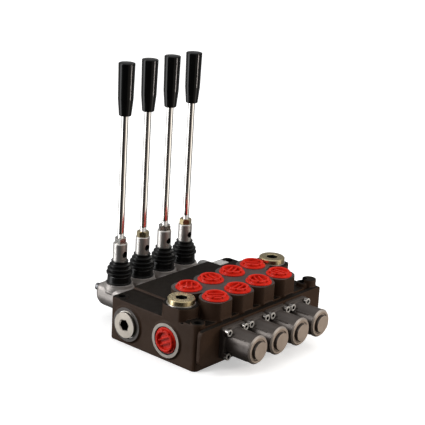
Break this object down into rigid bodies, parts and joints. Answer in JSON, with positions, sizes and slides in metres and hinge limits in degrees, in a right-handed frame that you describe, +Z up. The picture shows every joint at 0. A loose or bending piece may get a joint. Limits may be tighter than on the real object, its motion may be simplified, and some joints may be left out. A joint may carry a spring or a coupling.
{
  "type": "hydraulic monoblock valve",
  "caption": "Hydraulic monoblock directional valve with hand levers in rubber boots, capped work ports and bolted spring caps.",
  "frame": {"origin": "centre of the rectangle of mounting holes, on the underside of the body", "axes": "+X along the spools from the levers to the spring caps, +Y along the row of sections, +Z up along the levers"},
  "size_m": [0.2444, 0.2175, 0.3122],
  "materials": {
    "body_casting": "satin brown-black paint over cast iron, machined grey port faces",
    "label_plate": "matt blank plate",
    "red_plastic": "gloss moulded plastic",
    "bright_zinc": "bright zinc plate",
    "yellow_zinc": "yellow passivated zinc plate",
    "washer_steel": "plain bonded washer",
    "ground_steel": "ground",
    "spring_steel": "oiled spring wire",
    "seal_rubber": "matt",
    "boot_rubber": "satin moulded rubber",
    "cap_casting": "dark grey-brown paint, pale bare end face",
    "cast_aluminium": "bare die-cast aluminium",
    "chrome_rod": "polished",
    "black_plastic": "gloss moulded plastic"
  },
  "bodies": {
    "root": {"valve_body": "body_casting", "nameplate": "label_plate", "nameplate_rivets": "bright_zinc", "work_port_caps_a": "red_plastic", "work_port_caps_b": "red_plastic", "side_port_cap": "red_plastic", "side_port_plug": "bright_zinc", "end_plugs": "bright_zinc", "top_port_plugs": "yellow_zinc", "plug_washers": "washer_steel", "spring_cap_screws": "bright_zinc", "housing_screws": "bright_zinc", "pivot_pins": "ground_steel", "spool_seals": "seal_rubber", "relief_body": "bright_zinc", "relief_adjuster": "bright_zinc", "relief_lock_nut": "bright_zinc", "relief_cap": "bright_zinc", "relief_spring": "spring_steel", "spring_cap_1": "cap_casting", "lever_housing_1": "cast_aluminium", "rubber_boot_1": "boot_rubber", "spring_cap_2": "cap_casting", "lever_housing_2": "cast_aluminium", "rubber_boot_2": "boot_rubber", "spring_cap_3": "cap_casting", "lever_housing_3": "cast_aluminium", "rubber_boot_3": "boot_rubber", "spring_cap_4": "cap_casting", "lever_housing_4": "cast_aluminium", "rubber_boot_4": "boot_rubber"},
    "lever_1": {"lever_socket_1": "bright_zinc", "lever_lock_nut_1": "bright_zinc", "lever_rod_1": "chrome_rod", "lever_knob_1": "black_plastic"},
    "spool_unit_1": {"spool_1": "ground_steel", "centering_spring_1": "spring_steel", "spring_guide_1": "ground_steel"},
    "lever_2": {"lever_socket_2": "bright_zinc", "lever_lock_nut_2": "yellow_zinc", "lever_rod_2": "chrome_rod", "lever_knob_2": "black_plastic"},
    "spool_unit_2": {"spool_2": "ground_steel", "centering_spring_2": "spring_steel", "spring_guide_2": "ground_steel"},
    "lever_3": {"lever_socket_3": "bright_zinc", "lever_lock_nut_3": "bright_zinc", "lever_rod_3": "chrome_rod", "lever_knob_3": "black_plastic"},
    "spool_unit_3": {"spool_3": "ground_steel", "centering_spring_3": "spring_steel", "spring_guide_3": "ground_steel"},
    "lever_4": {"lever_socket_4": "bright_zinc", "lever_lock_nut_4": "yellow_zinc", "lever_rod_4": "chrome_rod", "lever_knob_4": "black_plastic"},
    "spool_unit_4": {"spool_4": "ground_steel", "centering_spring_4": "spring_steel", "spring_guide_4": "ground_steel"},
    "relief_poppet_unit": {"relief_poppet": "ground_steel"}
  },
  "joints": [
    {"name": "lever_1_swing", "type": "hinge", "parent": "root", "child": "lever_1", "pos_m": [-0.1007, -0.057, 0.0505], "axis": [0, 1, 0], "range_deg": [-17, 17], "deforming": ["rubber_boot_1"]},
    {"name": "spool_1_slide", "type": "slide", "parent": "root", "child": "spool_unit_1", "axis": [1, 0, 0], "range_m": [-0.006, 0.006], "stiffness_N_per_m": 8000},
    {"name": "lever_2_swing", "type": "hinge", "parent": "root", "child": "lever_2", "pos_m": [-0.1007, -0.019, 0.0505], "axis": [0, 1, 0], "range_deg": [-17, 17], "deforming": ["rubber_boot_2"]},
    {"name": "spool_2_slide", "type": "slide", "parent": "root", "child": "spool_unit_2", "axis": [1, 0, 0], "range_m": [-0.006, 0.006], "stiffness_N_per_m": 8000},
    {"name": "lever_3_swing", "type": "hinge", "parent": "root", "child": "lever_3", "pos_m": [-0.1007, 0.019, 0.0505], "axis": [0, 1, 0], "range_deg": [-17, 17], "deforming": ["rubber_boot_3"]},
    {"name": "spool_3_slide", "type": "slide", "parent": "root", "child": "spool_unit_3", "axis": [1, 0, 0], "range_m": [-0.006, 0.006], "stiffness_N_per_m": 8000},
    {"name": "lever_4_swing", "type": "hinge", "parent": "root", "child": "lever_4", "pos_m": [-0.1007, 0.057, 0.0505], "axis": [0, 1, 0], "range_deg": [-17, 17], "deforming": ["rubber_boot_4"]},
    {"name": "spool_4_slide", "type": "slide", "parent": "root", "child": "spool_unit_4", "axis": [1, 0, 0], "range_m": [-0.006, 0.006], "stiffness_N_per_m": 8000},
    {"name": "relief_poppet_lift", "type": "slide", "parent": "root", "child": "relief_poppet_unit", "axis": [-1, 0, 0], "range_m": [0, 0.003], "stiffness_N_per_m": 2000, "deforming": ["relief_spring"]}
  ],
  "couplings": [
    {"joint": "spool_1_slide", "follows": "lever_1_swing", "m_per_rad": -0.02},
    {"joint": "spool_2_slide", "follows": "lever_2_swing", "m_per_rad": -0.02},
    {"joint": "spool_3_slide", "follows": "lever_3_swing", "m_per_rad": -0.02},
    {"joint": "spool_4_slide", "follows": "lever_4_swing", "m_per_rad": -0.02}
  ]
}
